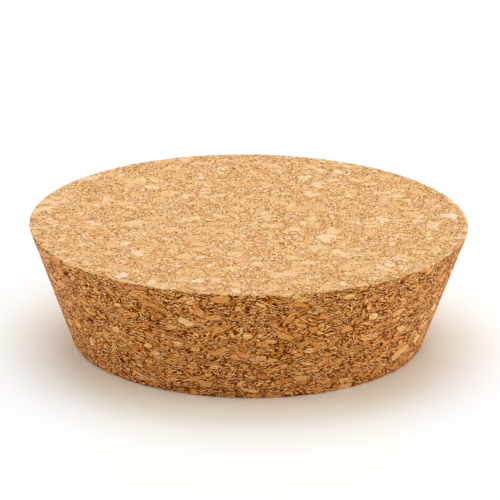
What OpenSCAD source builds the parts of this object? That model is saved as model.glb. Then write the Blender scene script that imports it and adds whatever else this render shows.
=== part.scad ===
// Tapered cork stopper for a wide jar, ground to shape in one piece from a sheet of agglomerated cork.
// The narrow face is the base, which goes into the jar and which the stopper also stands on.
// The origin is the centre of the base, and +Z points up through the wide top face.

/* [Body] */
// Diameter of the wide top face, to the corner that the rim is rounded from
top_d = 90; // [80:1:120]
// Diameter of the narrow base, to the corner that the foot is rounded from
base_d = 72; // [50:1:78]
// Height from the base to the top face, which is the thickness of the cork sheet
height = 25; // [12:1:50]

/* [Edges] */
// Radius of the crisp rim, where the side meets the top face
rim_r = 0.3; // [0.1:0.1:4]
// Radius of the softer edge, where the side meets the base
foot_r = 0.6; // [0.1:0.1:5]

/* [Hidden] */
$fn = 96;

top_r = top_d / 2;
base_r = base_d / 2;

// Lean of the side from upright, in degrees
taper = atan((top_r - base_r) / height);

// Distance from each corner to the points where its round meets the two faces
rim_run = rim_r / tan((90 - taper) / 2);
foot_run = foot_r / tan((90 + taper) / 2);

// A point on the side, at a distance up it from the base corner and at a distance down it from the top one
function side_above_base(run) = [base_r + run * sin(taper), run * cos(taper)];
function side_below_top(run) = [top_r - run * sin(taper), height - run * cos(taper)];

// Half of the section, with a flat across each corner from one end of its round to the other
module half_section_with_flats() {
    polygon([
        [0, 0],
        [base_r - foot_run, 0],
        side_above_base(foot_run),
        side_below_top(rim_run),
        [top_r - rim_run, height],
        [0, height]
    ]);
}

// Half of the section, with both corners filled out to true arcs
module half_section() {
    half_section_with_flats();
    translate([base_r - foot_run, foot_r])
        circle(r = foot_r);
    translate([top_r - rim_run, height - rim_r])
        circle(r = rim_r);
}

module stopper() {
    color("burlywood")
        rotate_extrude()
            half_section();
}

stopper();
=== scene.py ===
from math import atan, cos, pi, radians, sin, tan
from types import SimpleNamespace

import bpy
import numpy as np
from mathutils import Matrix, Vector


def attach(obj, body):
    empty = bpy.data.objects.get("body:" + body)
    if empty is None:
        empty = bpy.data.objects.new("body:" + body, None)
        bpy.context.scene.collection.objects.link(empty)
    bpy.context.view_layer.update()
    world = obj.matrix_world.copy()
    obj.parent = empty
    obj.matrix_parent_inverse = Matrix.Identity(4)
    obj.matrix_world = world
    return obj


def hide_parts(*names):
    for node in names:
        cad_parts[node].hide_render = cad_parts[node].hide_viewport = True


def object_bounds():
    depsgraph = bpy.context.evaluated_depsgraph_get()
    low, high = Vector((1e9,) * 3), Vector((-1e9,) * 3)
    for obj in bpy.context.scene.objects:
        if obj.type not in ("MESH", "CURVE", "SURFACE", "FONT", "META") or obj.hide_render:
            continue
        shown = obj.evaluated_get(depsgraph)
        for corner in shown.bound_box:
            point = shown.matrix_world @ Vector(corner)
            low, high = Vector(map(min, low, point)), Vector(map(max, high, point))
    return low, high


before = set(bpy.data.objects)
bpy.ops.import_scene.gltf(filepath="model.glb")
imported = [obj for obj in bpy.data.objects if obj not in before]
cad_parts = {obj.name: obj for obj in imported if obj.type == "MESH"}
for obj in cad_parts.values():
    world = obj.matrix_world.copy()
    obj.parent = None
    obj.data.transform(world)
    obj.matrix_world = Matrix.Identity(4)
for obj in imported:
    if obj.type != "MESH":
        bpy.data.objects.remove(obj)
cad_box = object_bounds()

# The stopper's looks are one skin of cork, which stands for the CAD solid. The cork is a set of formulas of
# the place in space. The same functions build them twice: as geometry nodes, which shape the skin, and as
# shader nodes, which colour it. So the relief and the colours line up, and the granules run on over the
# edges. Lengths are in mm down to the floor, and in metres from there on.

MM = 0.001

# The stopper's sizes, as the CAD part has them, and how far its side leans out. The radii of its two faces go
# to the corners that its edges are rounded from, so the CAD box gives only the height.
TOP_R = 45.0
BASE_R = 36.0
HEIGHT = cad_box[1][2] / MM
RIM_R = 0.3
FOOT_R = 0.6
SLOPE = (TOP_R - BASE_R) / HEIGHT
TAPER = atan(SLOPE)

# The skin's mesh: rings from the middle of a face to its edge, rows down the side and round each rounded
# edge, and points round the side
RINGS = 96
SIDE_ROWS = 60
EDGE_ROWS = 3
COLUMNS = 6 * RINGS

# How far the skin is sunk into the CAD solid: everywhere, and how much more where a granule lies low and
# in a gap
SKIN = 0.02
LOW_GRANULE = 0.08
GAP_DEPTH = 0.12


# ---------------------------------------------------------------- nodes as formulas


class Field:
    """A number or a vector that varies from place to place: the output socket of a node."""

    def __init__(self, tree, socket):
        self.tree = tree
        self.socket = socket

    def __add__(self, other):
        return combine(self.tree, "ADD", self, other)

    def __sub__(self, other):
        return combine(self.tree, "SUBTRACT", self, other)

    def __rsub__(self, other):
        return combine(self.tree, "SUBTRACT", other, self)

    def __mul__(self, other):
        return combine(self.tree, "MULTIPLY", self, other)

    def __truediv__(self, other):
        return combine(self.tree, "DIVIDE", self, other)


def is_wide(value):
    """True for a vector or colour, and False for a number."""
    if isinstance(value, Field):
        return value.socket.type in ("VECTOR", "RGBA")
    return isinstance(value, (tuple, list))


def plug(tree, into, value):
    """Links a Field into a socket, or sets the socket to a constant."""
    if isinstance(value, Field):
        tree.links.new(value.socket, into)
    elif into.type == "VECTOR" and not is_wide(value):
        into.default_value = (value, value, value)
    elif into.type == "RGBA" and len(value) == 3:
        into.default_value = (*value, 1.0)
    else:
        into.default_value = value


def add_node(tree, kind, inputs, **settings):
    """Adds one node, with its settings and then its inputs by name or number."""
    node = tree.nodes.new(kind)
    for name, value in settings.items():
        setattr(node, name, value)
    for name, value in inputs.items():
        plug(tree, node.inputs[name], value)
    return node


def combine(tree, operation, *values):
    """Does one operation on numbers, or on vectors if any of the values is one."""
    kind = "ShaderNodeVectorMath" if any(map(is_wide, values)) else "ShaderNodeMath"
    node = add_node(tree, kind, dict(enumerate(values)), operation=operation)
    return Field(tree, node.outputs[0])


def length(vector):
    node = add_node(vector.tree, "ShaderNodeVectorMath", {0: vector}, operation="LENGTH")
    return Field(vector.tree, node.outputs["Value"])


def along(vector, direction):
    """How far a vector reaches in a direction of length 1."""
    inputs = {0: vector, 1: direction}
    node = add_node(vector.tree, "ShaderNodeVectorMath", inputs, operation="DOT_PRODUCT")
    return Field(vector.tree, node.outputs["Value"])


def turned(vector, angles):
    """A vector turned about X, Y and Z."""
    inputs = {"Vector": vector, "Rotation": angles}
    node = add_node(vector.tree, "ShaderNodeVectorRotate", inputs, rotation_type="EULER_XYZ")
    return Field(vector.tree, node.outputs[0])


def absolute(value):
    return combine(value.tree, "ABSOLUTE", value)


def fraction(vector):
    return combine(vector.tree, "FRACTION", vector)


def power(base, exponent):
    """A constant colour to the power of a Field."""
    return combine(exponent.tree, "POWER", base, exponent)


def smallest(first, *others):
    least = first
    for other in others:
        least = combine(first.tree, "MINIMUM", least, other)
    return least


def larger(a, b):
    return combine(a.tree, "MAXIMUM", a, b)


def channels(vector):
    node = add_node(vector.tree, "ShaderNodeSeparateXYZ", {0: vector})
    return [Field(vector.tree, output) for output in node.outputs]


def between(value, low, high, to_low=0.0, to_high=1.0):
    """A smooth step from to_low to to_high as value goes from low to high."""
    inputs = {"Value": value, "From Min": low, "From Max": high, "To Min": to_low, "To Max": to_high}
    node = add_node(value.tree, "ShaderNodeMapRange", inputs, interpolation_type="SMOOTHSTEP")
    return Field(value.tree, node.outputs[0])


def mix(share, a, b):
    """a where share is 0 and b where it is 1."""
    # A Mix node has its two numbers at inputs 2 and 3, and its two vectors at inputs 4 and 5
    wide = is_wide(a) or is_wide(b)
    first = 4 if wide else 2
    inputs = {0: share, first: a, first + 1: b}
    node = add_node(share.tree, "ShaderNodeMix", inputs, data_type="VECTOR" if wide else "FLOAT")
    return Field(share.tree, node.outputs[1 if wide else 0])


def noise_node(place, size, detail, rough):
    inputs = {"Vector": place, "Scale": 1.0 / size, "Detail": detail, "Roughness": rough}
    return add_node(place.tree, "ShaderNodeTexNoise", inputs)


def noise(place, size, detail=0.0, rough=0.5, seed=0.0):
    """A smooth random number about 0, from -0.5 to 0.5, with lumps of this size."""
    if seed:
        place = place + seed
    return Field(place.tree, noise_node(place, size, detail, rough).outputs[0]) - 0.5


def noise_vector(place, size, detail=0.0, rough=0.5):
    """Three such numbers."""
    return Field(place.tree, noise_node(place, size, detail, rough).outputs["Color"]) - (0.5, 0.5, 0.5)


def cells(place, size):
    """Cuts space into cells of this size.

    Gives the vector from the cell's own point, in cells, and three random numbers of the cell.
    """
    scaled = place / size
    node = add_node(place.tree, "ShaderNodeTexVoronoi", {"Vector": scaled, "Scale": 1.0})
    away = scaled - Field(place.tree, node.outputs["Position"])
    return away, Field(place.tree, node.outputs["Color"])


# ---------------------------------------------------------------- the cork

# Ground agglomerate: flat flakes in a mash of crumbs, pressed and glued. Each size of granule has cells of
# its own in space, and a larger granule hides the smaller ones where it lies.

# Cell size, share of cells with a granule, width of the dark line round it, and seed
GRANULES = [
    (1.30, 0.60, 0.16, 31.7),
    (2.00, 0.70, 0.18, 17.3),
    (2.80, 0.78, 0.20, 58.1),
    (4.20, 0.64, 0.23, 83.6),
]
CRUMB_SIZE = 1.0

# A granule's form in its own frame, in cells: its half sizes, how boxy it is (1 is an ellipsoid), and the
# planes that cut it, each by its direction and its distance from the middle
GRANULE = (0.62, 0.54, 0.29)
BOXY = (1.5, 1.5, 1.5)
CUTS = [
    ((0.55, 0.25, 0.80), 0.27),
    ((-0.70, 0.50, -0.50), 0.34),
    ((0.30, -0.80, -0.50), 0.34),
]
# The form without its cuts is measured by a number that falls from 1 in the middle to 0 at the outline.
# Near the outline, this makes about a distance out of it.
TO_DISTANCE = 0.7 * GRANULE[2]
# The ranges of the angles, in radians, that granules and crumbs are turned by. They lean by up to half of
# the first two, and face any way.
GRANULE_TURNS = (1.3, 1.3, 2 * pi)
CRUMB_TURNS = (1.5, 1.5, 2 * pi)

# What bends the beds of granules: the size of its lumps, and the range that it moves a place over
SWIRL_SIZE = 8.0
SWIRL = 5.0
RIPPLE_SIZE = 1.3
RIPPLE = 0.35
# How much flatter pressing has made the granules
PRESSED = (1.0, 1.0, 1.35)

# Outlines are ragged and their dark lines broken. How far an outline wanders, in widths of its line, and
# where the line has faded out and where it is darkest, in widths from the outline
RAGGED_SIZE = 0.8
RAGGED = 1.8
LINE_FADE = 1.15
LINE_DARK = 0.3
BREAK_SIZE = 1.5
# The side's dark specks, and the ground faces' dots
SPECK_SIZE = 0.42
DOT_SIZE = 0.38

# Smooth steps, each as the two numbers that it starts and ends at and, where given, the two that it runs
# between: the line's width and strength, a granule's outline, the strength of its dark layers, and the specks
LINE_WIDTH = (-0.15, 0.15, 0.55, 1.5)
LINE_STRENGTH = (-0.04, 0.08, 0.2, 0.9)
OUTLINE = (-0.02, 0.03)
LAYER_STRENGTH = (-0.12, 0.06, 0.2, 1.1)
SPECKS = (0.10, 0.20, 0.0, 0.95)
# The width of a step that is meant to be sharp
SHARP = 0.01

# Lumps per mm along a granule's own axes, of what bends its layers, of patches where the dark ones are
# strong or weak, and of grit
BENDS_RATE = (1.2, 1.2, 1.4)
PATCH_RATE = (1.7, 1.7, 1.8)
GRIT_RATE = (2.8, 2.8, 3.6)
# Changes from dark to pale layer or back, for each mm across the layers, and how many the bends add
LAYER_RATE = 3.2
LAYER_BEND = 2.2
# How much smoother granules are for each mm of their size
SMOOTHER = 0.45

# Factors that make other random numbers out of a cell's own, and set its layers apart from its neighbours'
RESHUFFLE = 37.0
LAYERS_APART = 9.0


def scatter(place, size, turns):
    """Lumps of cork of one size, one to a cell, each turned its own way.

    Gives the place in the lump's own frame, in cells, three random numbers of the lump, and the place in
    its layers.
    """
    away, random = cells(place, size)
    own = turned(away, (random - (0.5, 0.5, 0.5)) * turns)
    return own, fraction(random * RESHUFFLE), (own + random * LAYERS_APART) * size


def inside_granule(own, size):
    """How deep in its granule a place lies, in mm. own is the place in the granule's own frame, in cells."""
    shares = combine(own.tree, "POWER", absolute(own / GRANULE), BOXY)
    full = (1.0 - length(shares)) * TO_DISTANCE
    cuts = [offset - along(own, direction) for direction, offset in CUTS]
    return smallest(full, *cuts) * size


def cork(place):
    """What the cork is at a place, as Fields by these names.

    traits: three random numbers of the granule or crumb, from 0 to 1
    gap: 1 in the dark gap round a granule, 0 away from it
    coarse: how much its layers and grit show, from 0 in a smooth granule to 1 in a crumb
    grain: 0 in a dark layer, 1 in a pale one
    inked: how strong the dark layers are here
    grit: fine lumps in the granule, about 0
    specks: 1 in a dark speck
    dots: fine lumps that run on from granule to granule, about 0
    """
    swirl = noise_vector(place, SWIRL_SIZE, detail=1.0) * SWIRL
    ripple = noise_vector(place, RIPPLE_SIZE, detail=1.0, rough=0.6) * RIPPLE
    bent = (place + swirl + ripple) * PRESSED
    ragged = noise(place, RAGGED_SIZE, detail=2.0, rough=0.7)
    strength = between(noise(place, BREAK_SIZE, detail=1.0, seed=2.2), *LINE_STRENGTH)

    traits, layers = scatter(bent, CRUMB_SIZE, CRUMB_TURNS)[1:]
    gap = 0.0
    coarse = 1.0
    for size, share, line, seed in GRANULES:
        own, its_traits, its_layers = scatter(bent + seed, size, GRANULE_TURNS)
        kept = channels(its_traits)[0]
        its_coarse = channels(its_traits)[2] * (1.0 / (1.0 + SMOOTHER * size))
        depth = inside_granule(own, size) + ragged * (line * RAGGED)
        width = between(ragged, *LINE_WIDTH) * line
        its_gap = between(depth, width * LINE_FADE, width * LINE_DARK) * strength
        here = between(depth, *OUTLINE) * between(kept, share, share - SHARP)
        traits = mix(here, traits, its_traits)
        layers = mix(here, layers, its_layers)
        gap = mix(here, gap, its_gap)
        coarse = mix(here, coarse, its_coarse)

    bend = noise(layers * BENDS_RATE, 1.0, seed=20.0)
    across = channels(layers)[2] * LAYER_RATE + bend * LAYER_BEND
    return SimpleNamespace(
        traits=traits,
        gap=gap,
        coarse=coarse,
        grain=combine(place.tree, "PINGPONG", across, 1.0),
        inked=between(noise(layers * PATCH_RATE, 1.0, seed=80.0), *LAYER_STRENGTH),
        grit=noise(layers * GRIT_RATE, 1.0, seed=50.0),
        specks=between(noise(place, SPECK_SIZE, detail=1.0, seed=5.5), *SPECKS),
        dots=noise(place, DOT_SIZE, seed=3.3),
    )


# ---------------------------------------------------------------- the cork's colours

# The granules' colours on the side and on the two ground faces, in sRGB, by a random number of the granule
SIDE_TONES = [
    (0.00, (203, 128, 64)),
    (0.08, (218, 152, 88)),
    (0.35, (229, 167, 105)),
    (0.60, (240, 182, 124)),
    (0.80, (248, 202, 153)),
    (1.00, (251, 218, 176)),
]
FACE_TONES = [
    (0.00, (233, 180, 127)),
    (0.08, (235, 188, 137)),
    (0.40, (237, 194, 144)),
    (0.65, (239, 199, 150)),
    (0.84, (243, 207, 162)),
    (1.00, (249, 218, 186)),
]

# The tones that smooth and that coarse parts of the side use
SMOOTH_TONES = (0.06, 0.96)
COARSE_TONES = (0.12, 0.72)

# What makes the number that a granule's tint goes by out of its first trait
NEW_HUE = 7.0

# From here on, colours and the factors of colours are linear red, green and blue. What granules are tinted
# by, from the yellowest to the pinkest, and what the few reddish ones are tinted by as well: those whose
# number is past this narrow step.
SIDE_TINTS = ((1.0, 1.01, 0.80), (1.0, 0.95, 0.97))
FACE_TINTS = ((1.0, 1.025, 0.96), (1.0, 0.975, 1.06))
REDDISH = (0.93, 0.76, 0.62)
REDDISH_FROM = (0.935, 0.945)
# What is left of a colour at a darkness of 1, on the side and on the ground faces. On the side, full darkness
# falls on the cork's own dark layers and specks, and in the gaps round granules, which are partly dark binder
# and partly painted shade in the open crevices.
SIDE_STAIN_AND_SHADE = (0.11, 0.015, 0.0001)
FACE_STAIN = (0.60, 0.335, 0.09)
# The colour of the side's pale layers, and the palest that cork may be. The pale layers are partly the cork's
# own pale grain and partly a painted glint: bright edges painted beside the dark lines.
PALE_LAYER_AND_GLINT = (0.97, 0.57, 0.235)
PALEST = (0.96, 0.96, 0.96)

# Brightness: the level of each kind of surface, and how much coarseness, grit and the dots' lumps change it
SIDE_LEVEL = 0.98
SIDE_COARSE = 0.03
SIDE_GRIT = 1.75
FACE_LEVEL = 1.02
FACE_GRIT = 0.35
FACE_LUMPS = 0.85
# How dark the ground faces' gaps and dots are
FACE_GAPS = 0.4
FACE_DOTS = 1.2

# Smooth steps, as in the cork: the pale layers with their painted glint, and the dark layers, from their edge
# to their middle, the dots, and where dark parts turn dull
PALE_AND_GLINT_STEP = (0.40, 0.80)
DARK_STEP = (0.70, 0.08)
DOT_STEP = (0.06, 0.15)
DULL_STEP = (0.05, 0.4)
# Where coarseness has its full effect. The strengths of all detail, of the dark layers and of the faces'
# lumps, each for the smoothest parts and for parts that are at least this coarse
FULLY_COARSE = 0.7
DETAIL = (0.12, 1.0)
DARK_LAYERS = (0.078, 1.09)
LUMPS = (0.296, 1.0)

# Bump, in mm: of grit and of the layers, and the depth of a gap
GRIT_BUMP = 0.15
LAYER_BUMP = 0.03
GAP_BUMP = 0.14

# The side's granules are a little glossy, and the gaps and ground faces are dull. The tint colours the
# reflection that is seen head-on, and leaves the one at a low angle white.
GRANULE_ROUGHNESS = 0.52
DULL = 1.0
SPECULAR = 0.35
SPECULAR_TINT = (0.50, 0.25, 0.02, 1.0)

# Half the width over which the side passes into a ground face, and how far in from the foot the base's
# ground face starts, so that none of it shows from the side
EDGE_BLUR = 0.1
BASE_INSET = 0.4


def linear(r, g, b):
    """An sRGB colour of 0 to 255 as linear light."""
    shares = (c / 255.0 for c in (r, g, b))
    return tuple(s / 12.92 if s <= 0.04045 else ((s + 0.055) / 1.055) ** 2.4 for s in shares)


def ramp(value, stops):
    """The colour at a value between 0 and 1, from stops of (value, sRGB colour)."""
    node = add_node(value.tree, "ShaderNodeValToRGB", {"Fac": value})
    keys = node.color_ramp.elements
    while len(keys) < len(stops):
        keys.new(0.5)
    for key, (at, colour) in zip(keys, stops):
        key.position = at
        key.color = (*linear(*colour), 1.0)
    return Field(value.tree, node.outputs["Color"])


def new_material(name):
    """An empty material and its node tree."""
    material = bpy.data.materials.new(name)
    material.use_nodes = True
    material.node_tree.nodes.clear()
    return material, material.node_tree


def place_on_piece(tree):
    """The place on the piece, in metres."""
    return Field(tree, add_node(tree, "ShaderNodeTexCoord", {}).outputs["Object"])


def show(tree, shader, kind="ShaderNodeOutputMaterial"):
    """Makes a shader node the tree's result."""
    output = add_node(tree, kind, {})
    tree.links.new(shader.outputs[0], output.inputs["Surface"])


def ground_share(place):
    """1 on the ground top and base, and 0 on the side."""
    z = channels(place)[2]
    radius = length(place * (1.0, 1.0, 0.0))
    below_top = HEIGHT - z
    inside_side = (z * SLOPE + BASE_R - radius) * cos(TAPER)
    return between(inside_side - smallest(below_top, z + BASE_INSET), -EDGE_BLUR, EDGE_BLUR)


def by_coarseness(here, strengths):
    """The first strength in the smoothest parts, and the second in coarse ones."""
    return between(here.coarse, 0.0, FULLY_COARSE, *strengths)


def within(share, ends):
    """The first end where share is 0, and the second where it is 1."""
    low, high = ends
    return share * (high - low) + low


def side_colour(here, tone, hue, detail, dark):
    # Where the layers are pale, a paler colour is mixed in: partly the grain's own pale layers, partly a
    # painted glint beside the dark lines.
    pale = between(here.grain, *PALE_AND_GLINT_STEP) * detail
    level = here.coarse * SIDE_COARSE + SIDE_LEVEL + here.grit * detail * SIDE_GRIT
    tint = mix(hue, *SIDE_TINTS) * level
    tint = mix(between(hue, *REDDISH_FROM), tint, tint * REDDISH)
    tone = mix(detail, within(tone, SMOOTH_TONES), within(tone, COARSE_TONES))
    granule = ramp(tone, SIDE_TONES) * tint
    # The darkness is partly the cork's own dark layers, specks and binder, and partly painted shade in the
    # gaps round granules.
    return mix(pale, granule, PALE_LAYER_AND_GLINT) * power(SIDE_STAIN_AND_SHADE, dark)


def face_colour(here, tone, hue, detail, gap):
    lumps = (here.grit * FACE_GRIT - here.dots * FACE_LUMPS) * by_coarseness(here, LUMPS)
    granule = ramp(tone, FACE_TONES) * mix(hue, *FACE_TINTS) * (lumps + FACE_LEVEL)
    dots = between(here.dots, *DOT_STEP) * detail
    return granule * power(FACE_STAIN, gap * FACE_GAPS + dots * FACE_DOTS)


def cork_material():
    material, tree = new_material("cork")
    place = place_on_piece(tree) * (1.0 / MM)
    here = cork(place)
    ground = ground_share(place)

    # Which granules are kept goes by the first trait, so the tint goes by a number made from it
    hue = channels(fraction(here.traits * NEW_HUE))[0]
    tone = channels(here.traits)[1]
    detail = by_coarseness(here, DETAIL)
    dark_layers = between(here.grain, *DARK_STEP) * by_coarseness(here, DARK_LAYERS) * here.inked
    # On the side, the gaps round granules are painted full dark: partly dark binder, partly painted shade in
    # the crevices.
    gap = larger(here.gap, dark_layers)
    dark = larger(gap, here.specks * detail)
    side = side_colour(here, tone, hue, detail, dark)
    face = face_colour(here, tone, hue, detail, gap)
    colour = smallest(mix(ground, side, face), PALEST)

    height = (here.grit * GRIT_BUMP + here.grain * LAYER_BUMP) * detail - here.gap * GAP_BUMP
    bump = add_node(tree, "ShaderNodeBump", {"Height": height, "Distance": MM, "Strength": 1.0})
    side_roughness = mix(between(dark, *DULL_STEP), GRANULE_ROUGHNESS, DULL)
    shader = add_node(tree, "ShaderNodeBsdfPrincipled", {
        "Base Color": colour,
        "Roughness": mix(ground, side_roughness, DULL),
        "Normal": Field(tree, bump.outputs[0]),
        "Specular IOR Level": SPECULAR,
        "Specular Tint": SPECULAR_TINT,
    })
    show(tree, shader)
    return material


# ---------------------------------------------------------------- the skin's mesh


def profile():
    """The section from the edge of the top face down to the edge of the base, as (radius, z) rows."""
    rim_run = RIM_R / tan((pi / 2 - TAPER) / 2)
    foot_run = FOOT_R / tan((pi / 2 + TAPER) / 2)
    rim = Vector((TOP_R - rim_run, HEIGHT - RIM_R))
    foot = Vector((BASE_R - foot_run, FOOT_R))
    rim_turn = pi / 2 + TAPER
    foot_turn = pi / 2 - TAPER
    rows = []
    for i in range(EDGE_ROWS + 1):
        angle = pi / 2 - rim_turn * i / EDGE_ROWS
        rows.append(rim + RIM_R * Vector((cos(angle), sin(angle))))
    side_top = rows[-1]
    side_foot = foot + FOOT_R * Vector((cos(-TAPER), sin(-TAPER)))
    for i in range(1, SIDE_ROWS):
        rows.append(side_top.lerp(side_foot, i / SIDE_ROWS))
    for i in range(EDGE_ROWS + 1):
        angle = -TAPER - foot_turn * i / EDGE_ROWS
        rows.append(foot + FOOT_R * Vector((cos(angle), sin(angle))))
    return rows


def ring_points(radius, z, count):
    angle = np.arange(count) * 2 * pi / count
    return np.stack([radius * np.cos(angle), radius * np.sin(angle), np.full(count, z)], 1)


def disc_faces(first, upward):
    """Triangles of a disc of RINGS rings. first(i) is the number of the first point of ring i.

    Ring 0 is the middle point, and ring i has 6 * i points.
    """
    faces = []
    for ring in range(RINGS):
        inner = max(6 * ring, 1)
        outer = 6 * (ring + 1)
        for sixth in range(6):
            for k in range(ring + 1):
                a = first(ring) + (sixth * ring + k) % inner
                b = first(ring + 1) + (sixth * (ring + 1) + k) % outer
                c = first(ring + 1) + (sixth * (ring + 1) + k + 1) % outer
                faces.append((a, b, c) if upward else (a, c, b))
                if k < ring:
                    d = first(ring) + (sixth * ring + k + 1) % inner
                    faces.append((a, c, d) if upward else (a, d, c))
    return faces


def stopper_mesh():
    """The skin, closed: the top face from its middle out, the side and its edges, and the base."""
    rows = profile()
    top_r = rows[0][0]
    base_r = rows[-1][0]
    rings = [np.array([[0.0, 0.0, HEIGHT]])]
    rings += [ring_points(top_r * i / RINGS, HEIGHT, 6 * i) for i in range(1, RINGS)]
    rings += [ring_points(radius, z, COLUMNS) for radius, z in rows]
    rings += [ring_points(base_r * i / RINGS, 0.0, 6 * i) for i in range(RINGS - 1, 0, -1)]
    rings += [np.array([[0.0, 0.0, 0.0]])]
    starts = np.cumsum([0] + [len(ring) for ring in rings]).tolist()

    top_row = RINGS
    base_row = RINGS + len(rows) - 1
    faces = disc_faces(lambda i: starts[i], True)
    for row in range(top_row, base_row):
        for j in range(COLUMNS):
            k = (j + 1) % COLUMNS
            faces.append((starts[row] + j, starts[row + 1] + j, starts[row + 1] + k, starts[row] + k))
    faces += disc_faces(lambda i: starts[base_row + RINGS - i], False)

    mesh = bpy.data.meshes.new("stopper_skin")
    mesh.from_pydata((np.concatenate(rings) * MM).tolist(), [], faces)
    mesh.update()
    mesh.polygons.foreach_set("use_smooth", np.ones(len(mesh.polygons), bool))
    lay_out(mesh, rows)
    return mesh


# The square sheet that the skin is laid out on for the export's baked picture: the top face in its lower
# left corner, the base in its upper right one, and the side in quarters, two lying and two standing
SHEET = 151.0
SHEET_GAP = 0.5
LYING = [(1.0, 93.0), (1.0, 123.0)]
STANDING = [(93.0, 1.0), (123.0, 1.0)]


def lay_out(mesh, rows):
    """Gives the mesh the UV map that the export bakes its picture through."""
    corner = np.empty(len(mesh.loops), int)
    mesh.loops.foreach_get("vertex_index", corner)
    place = np.empty(len(mesh.vertices) * 3)
    mesh.vertices.foreach_get("co", place)
    flat = (place.reshape(-1, 3)[:, :2] / MM)[corner]
    # Each disc has 6 * RINGS ** 2 triangles
    disc_corners = 3 * 6 * RINGS ** 2
    top = flat[:disc_corners] + TOP_R + SHEET_GAP
    base = flat[-disc_corners:] * (-1.0, 1.0) + SHEET - BASE_R - SHEET_GAP

    steps = [(b - a).length for a, b in zip(rows, rows[1:])]
    below = np.concatenate([[0.0], np.cumsum(steps)])
    height = below[-1] - below
    across = 2 * pi * TOP_R / COLUMNS
    row, column = np.divmod(np.arange((len(rows) - 1) * COLUMNS), COLUMNS)
    quarter, left = np.divmod(column, COLUMNS // 4)
    u = np.stack([left, left, left + 1, left + 1], 1) * across
    v = np.stack([height[row], height[row + 1], height[row + 1], height[row]], 1)
    lying = np.array(LYING)[quarter % 2][:, None] + np.stack([u, v], 2)
    standing = np.array(STANDING)[quarter % 2][:, None] + np.stack([height[0] - v, u], 2)
    side = np.where((quarter < 2)[:, None, None], lying, standing).reshape(-1, 2)

    layer = mesh.uv_layers.new(name="OFBake")
    layer.uv.foreach_set("vector", (np.concatenate([top, side, base]) / SHEET).ravel())


def sink(piece):
    """Sinks the skin along its normals by the cork's own relief."""
    tree = bpy.data.node_groups.new("relief", "GeometryNodeTree")
    tree.interface.new_socket("Geometry", in_out="INPUT", socket_type="NodeSocketGeometry")
    tree.interface.new_socket("Geometry", in_out="OUTPUT", socket_type="NodeSocketGeometry")
    start = tree.nodes.new("NodeGroupInput")
    end = tree.nodes.new("NodeGroupOutput")
    position = Field(tree, add_node(tree, "GeometryNodeInputPosition", {}).outputs[0])
    normal = Field(tree, add_node(tree, "GeometryNodeInputNormal", {}).outputs[0])
    here = cork(position * (1.0 / MM))
    low = between(channels(here.traits)[1], 1.0, 0.0)
    depth = here.gap * GAP_DEPTH + low * LOW_GRANULE + SKIN
    move = add_node(tree, "GeometryNodeSetPosition", {"Offset": normal * (depth * -MM)})
    tree.links.new(start.outputs[0], move.inputs["Geometry"])
    tree.links.new(move.outputs[0], end.inputs[0])
    piece.modifiers.new("relief", "NODES").node_group = tree
    evaluated = piece.evaluated_get(bpy.context.evaluated_depsgraph_get())
    piece.data = bpy.data.meshes.new_from_object(evaluated)
    piece.modifiers.clear()


def add_object(name, data):
    piece = bpy.data.objects.new(name, data)
    bpy.context.scene.collection.objects.link(piece)
    return piece


stopper = add_object("cork_stopper", stopper_mesh())
sink(stopper)
stopper.data.materials.clear()
stopper.data.materials.append(cork_material())
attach(stopper, "root")
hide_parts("stopper")


# ---------------------------------------------------------------- floor and sky

# From here on, lengths are in metres

FLOOR_R = 3.0
# The floor's paint as it lights the stopper. Then as it is seen: in the soft shadow, and in the light
# farther out, each before or behind the stopper and beside it. It is tinted as the photo's shadow is.
FLOOR_BOUNCE = (0.88, 0.82, 0.745)
FLOOR_SHADED = (1.09, 1.10, 0.97)
FLOOR_LIT = (1.04, 1.05, 1.02)
FLOOR_SHADED_BESIDE = (1.03, 1.085, 1.055)
FLOOR_LIT_BESIDE = (1.01, 1.04, 1.07)
# Where the shaded paint passes into the lit one, and that one into plain white, as distances from the
# middle, and where the paint before and behind passes into the one beside, as distances to the side
SHADOW_RUN = (0.042, 0.055)
WHITE_RUN = (0.075, 0.120)
BESIDE_RUN = (0.024, 0.042)
WHITE = (1.0, 1.0, 1.0)
# The strength of the white sky as it lights the stopper. As it is seen, it is 1.
SKY = 0.36


def seen_share(tree):
    """1 for rays that see the background as it is: from the camera, mirrors and glass."""
    path = add_node(tree, "ShaderNodeLightPath", {})
    camera, mirror, glass = (Field(tree, path.outputs[name]) for name in
                             ("Is Camera Ray", "Is Glossy Ray", "Is Transmission Ray"))
    return larger(larger(camera, mirror), glass)


def floor_material():
    material, tree = new_material("floor")
    seen = seen_share(tree)
    place = place_on_piece(tree)
    distance = length(place)
    beside = between(absolute(channels(place)[0]), *BESIDE_RUN)
    shaded = mix(beside, FLOOR_SHADED, FLOOR_SHADED_BESIDE)
    lit = mix(beside, FLOOR_LIT, FLOOR_LIT_BESIDE)
    paint = mix(seen, FLOOR_BOUNCE, mix(between(distance, *SHADOW_RUN), shaded, lit))
    matt = add_node(tree, "ShaderNodeBsdfDiffuse", {"Color": paint})
    glow = add_node(tree, "ShaderNodeEmission", {"Color": WHITE, "Strength": 1.0})
    blend = add_node(tree, "ShaderNodeMixShader", {0: between(distance, *WHITE_RUN) * seen})
    tree.links.new(matt.outputs[0], blend.inputs[1])
    tree.links.new(glow.outputs[0], blend.inputs[2])
    show(tree, blend)
    return material


def make_floor():
    mesh = bpy.data.meshes.new("floor")
    corners = [(x * FLOOR_R, y * FLOOR_R, 0.0) for x, y in ((-1, -1), (1, -1), (1, 1), (-1, 1))]
    mesh.from_pydata(corners, [], [(0, 1, 2, 3)])
    mesh.materials.append(floor_material())
    add_object("floor", mesh)


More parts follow.
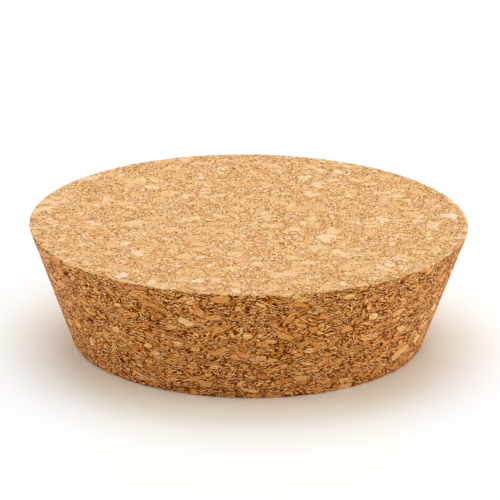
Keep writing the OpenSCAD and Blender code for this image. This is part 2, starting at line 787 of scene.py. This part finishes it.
def make_world():
    world = bpy.data.worlds.new("studio")
    world.use_nodes = True
    tree = world.node_tree
    tree.nodes.clear()
    level = mix(seen_share(tree), SKY, 1.0)
    sky = add_node(tree, "ShaderNodeBackground", {"Color": WHITE, "Strength": level})
    show(tree, sky, "ShaderNodeOutputWorld")
    bpy.context.scene.world = world


# ---------------------------------------------------------------- lamps and camera

# Square soft boxes: name, azimuth and elevation in degrees, and watts. Azimuth 0 is the photographer's
# side, and 90 the right.
LAMPS = [
    ("overhead", 0, 90, 2.45),
    ("high_back", 180, 65, 2.7),
    ("low_back", 180, 10, 4.0),
    ("low_left", -90, 10, 4.1),
    ("low_right", 90, 10, 4.55),
    ("low_front_left", -45, 10, 0.8),
    ("low_front_right", 45, 10, 2.4),
]
LAMP_SIZE = 0.7
LAMP_DISTANCE = 1.0

# The camera's lens, and where it stands, as fitted to the photo
PHOTO_PX = 500
FOCAL_PX = 4500.0
SENSOR_MM = 36.0
DISTANCE = 0.924
ELEVATION = radians(19.489)
ROLL = radians(0.519)
NEAREST = 0.05
FARTHEST = 20.0
# How far the middle of the stopper lies left of and below the middle of the picture, in pixels
LEFT_PX = 1.523
BELOW_PX = 28.861


def make_lamp(name, azimuth, elevation, watts):
    a = radians(azimuth)
    e = radians(elevation)
    away = Vector((sin(a) * cos(e), -cos(a) * cos(e), sin(e)))
    data = bpy.data.lights.new(name, "AREA")
    data.size = LAMP_SIZE
    data.energy = watts
    lamp = add_object(name, data)
    lamp.location = away * LAMP_DISTANCE
    lamp.rotation_euler = away.to_track_quat("Z", "Y").to_euler()


def make_camera():
    data = bpy.data.cameras.new("camera")
    data.sensor_width = SENSOR_MM
    data.lens = FOCAL_PX * SENSOR_MM / PHOTO_PX
    data.clip_start = NEAREST
    data.clip_end = FARTHEST
    pitch = ELEVATION - atan(BELOW_PX / FOCAL_PX)
    yaw = atan(LEFT_PX / FOCAL_PX)
    forward = Vector((sin(yaw) * cos(pitch), cos(yaw) * cos(pitch), -sin(pitch)))
    level = forward.cross(Vector((0, 0, 1))).normalized()
    upright = level.cross(forward)
    right = cos(ROLL) * level + sin(ROLL) * upright
    above = cos(ROLL) * upright - sin(ROLL) * level
    middle = Vector((0, 0, HEIGHT * MM / 2))
    camera = add_object("camera", data)
    camera.matrix_world = Matrix((right, above, -forward)).transposed().to_4x4()
    camera.location = middle + DISTANCE * Vector((0, -cos(ELEVATION), sin(ELEVATION)))
    bpy.context.scene.camera = camera


make_camera()
make_floor()
make_world()
for lamp in LAMPS:
    make_lamp(*lamp)

bpy.context.scene.view_settings.view_transform = "Standard"
